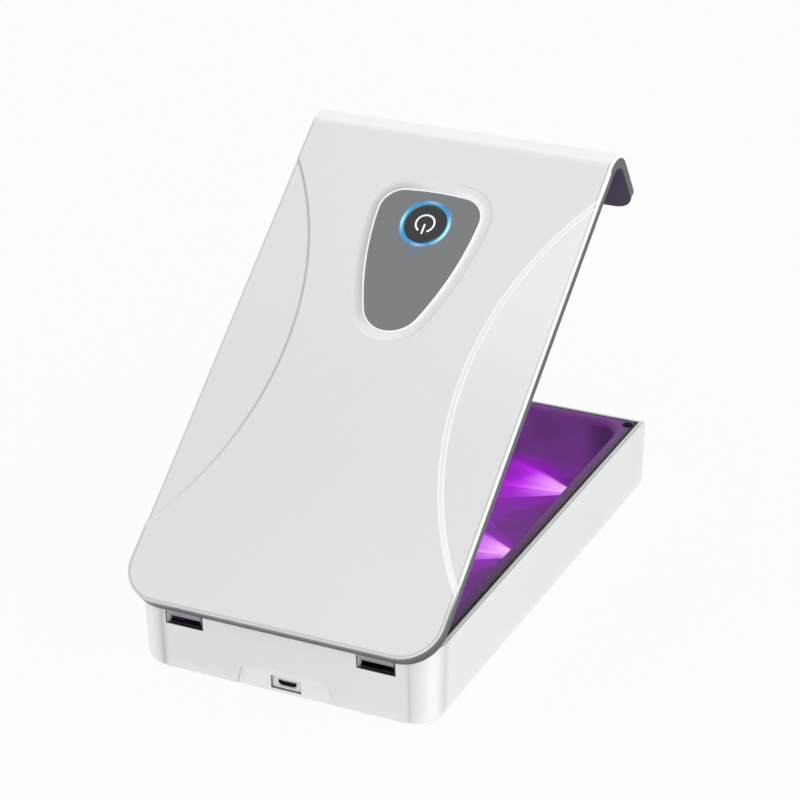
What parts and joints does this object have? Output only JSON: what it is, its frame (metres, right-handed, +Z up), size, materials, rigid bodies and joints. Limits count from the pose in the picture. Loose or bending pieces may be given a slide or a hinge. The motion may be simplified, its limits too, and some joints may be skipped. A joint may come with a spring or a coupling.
{
  "type": "uv sanitizer box for phones",
  "caption": "Flat white box with a grey tray for a phone, UV lamps in the tray walls and a hinged lid that curls down over the front and carries a round lit power button.",
  "frame": {"origin": "on the plane the feet stand on, under the middle of the box with its lid open at rest", "axes": "+Z up, +Y towards the hinge and the power socket, -Y towards the lip of the lid, +X to the left of someone who faces the socket"},
  "size_m": [0.1188, 0.206, 0.1542],
  "materials": {
    "white_gloss": "gloss white moulding",
    "tray_grey": "satin dark grey",
    "liner_grey": "satin mid grey",
    "panel_grey": "smooth grey",
    "button_dark": "dark grey",
    "symbol_white": "white inlay",
    "clear_ring": "lit translucent",
    "black_plastic": "matt",
    "black_rubber": "matt",
    "plated_steel": "plated",
    "board_green": "solder mask",
    "board_white": "white solder mask",
    "connector_white": "matt",
    "coil_grey": "ferrite",
    "lead_red": "insulated lead",
    "quartz": "clear",
    "uv_led": "lamp face",
    "blue_led": "lamp"
  },
  "bodies": {
    "base": {"base_shell": "white_gloss", "inner_tray": "tray_grey", "base_screws": "plated_steel", "main_board": "board_green", "main_chip": "black_plastic", "boost_coil": "coil_grey", "lead_headers": "connector_white", "board_screws": "plated_steel", "socket_shell": "plated_steel", "socket_tongue": "black_plastic", "foot_front_left": "black_rubber", "foot_rear_left": "black_rubber", "foot_front_right": "black_rubber", "foot_rear_right": "black_rubber", "rim_bumper_left": "black_rubber", "lamp_windows_left": "quartz", "lamp_leds_left": "uv_led", "lamp_board_left": "board_white", "lamp_lead_left": "lead_red", "hinge_pin_left": "plated_steel", "rim_bumper_right": "black_rubber", "lamp_windows_right": "quartz", "lamp_leds_right": "uv_led", "lamp_board_right": "board_white", "lamp_lead_right": "lead_red", "hinge_pin_right": "plated_steel"},
    "lid": {"lid_skin": "white_gloss", "lid_liner": "liner_grey", "control_plate": "panel_grey", "light_ring": "clear_ring", "button_board": "board_green", "ring_leds": "blue_led", "switch_body": "black_plastic"},
    "button": {"power_button": "button_dark", "power_symbol": "symbol_white", "switch_plunger": "connector_white"}
  },
  "joints": [
    {"name": "lid_hinge", "type": "hinge", "parent": "base", "child": "lid", "pos_m": [0, 0.09245, 0.026], "axis": [-1, 0, 0], "range_deg": [-37.8, 52.2]},
    {"name": "button_press", "type": "slide", "parent": "lid", "child": "button", "axis": [0, -0.6129, -0.7902], "range_m": [0, 0.0004], "stiffness_N_per_m": 2000, "springref_m": -0.0003}
  ]
}
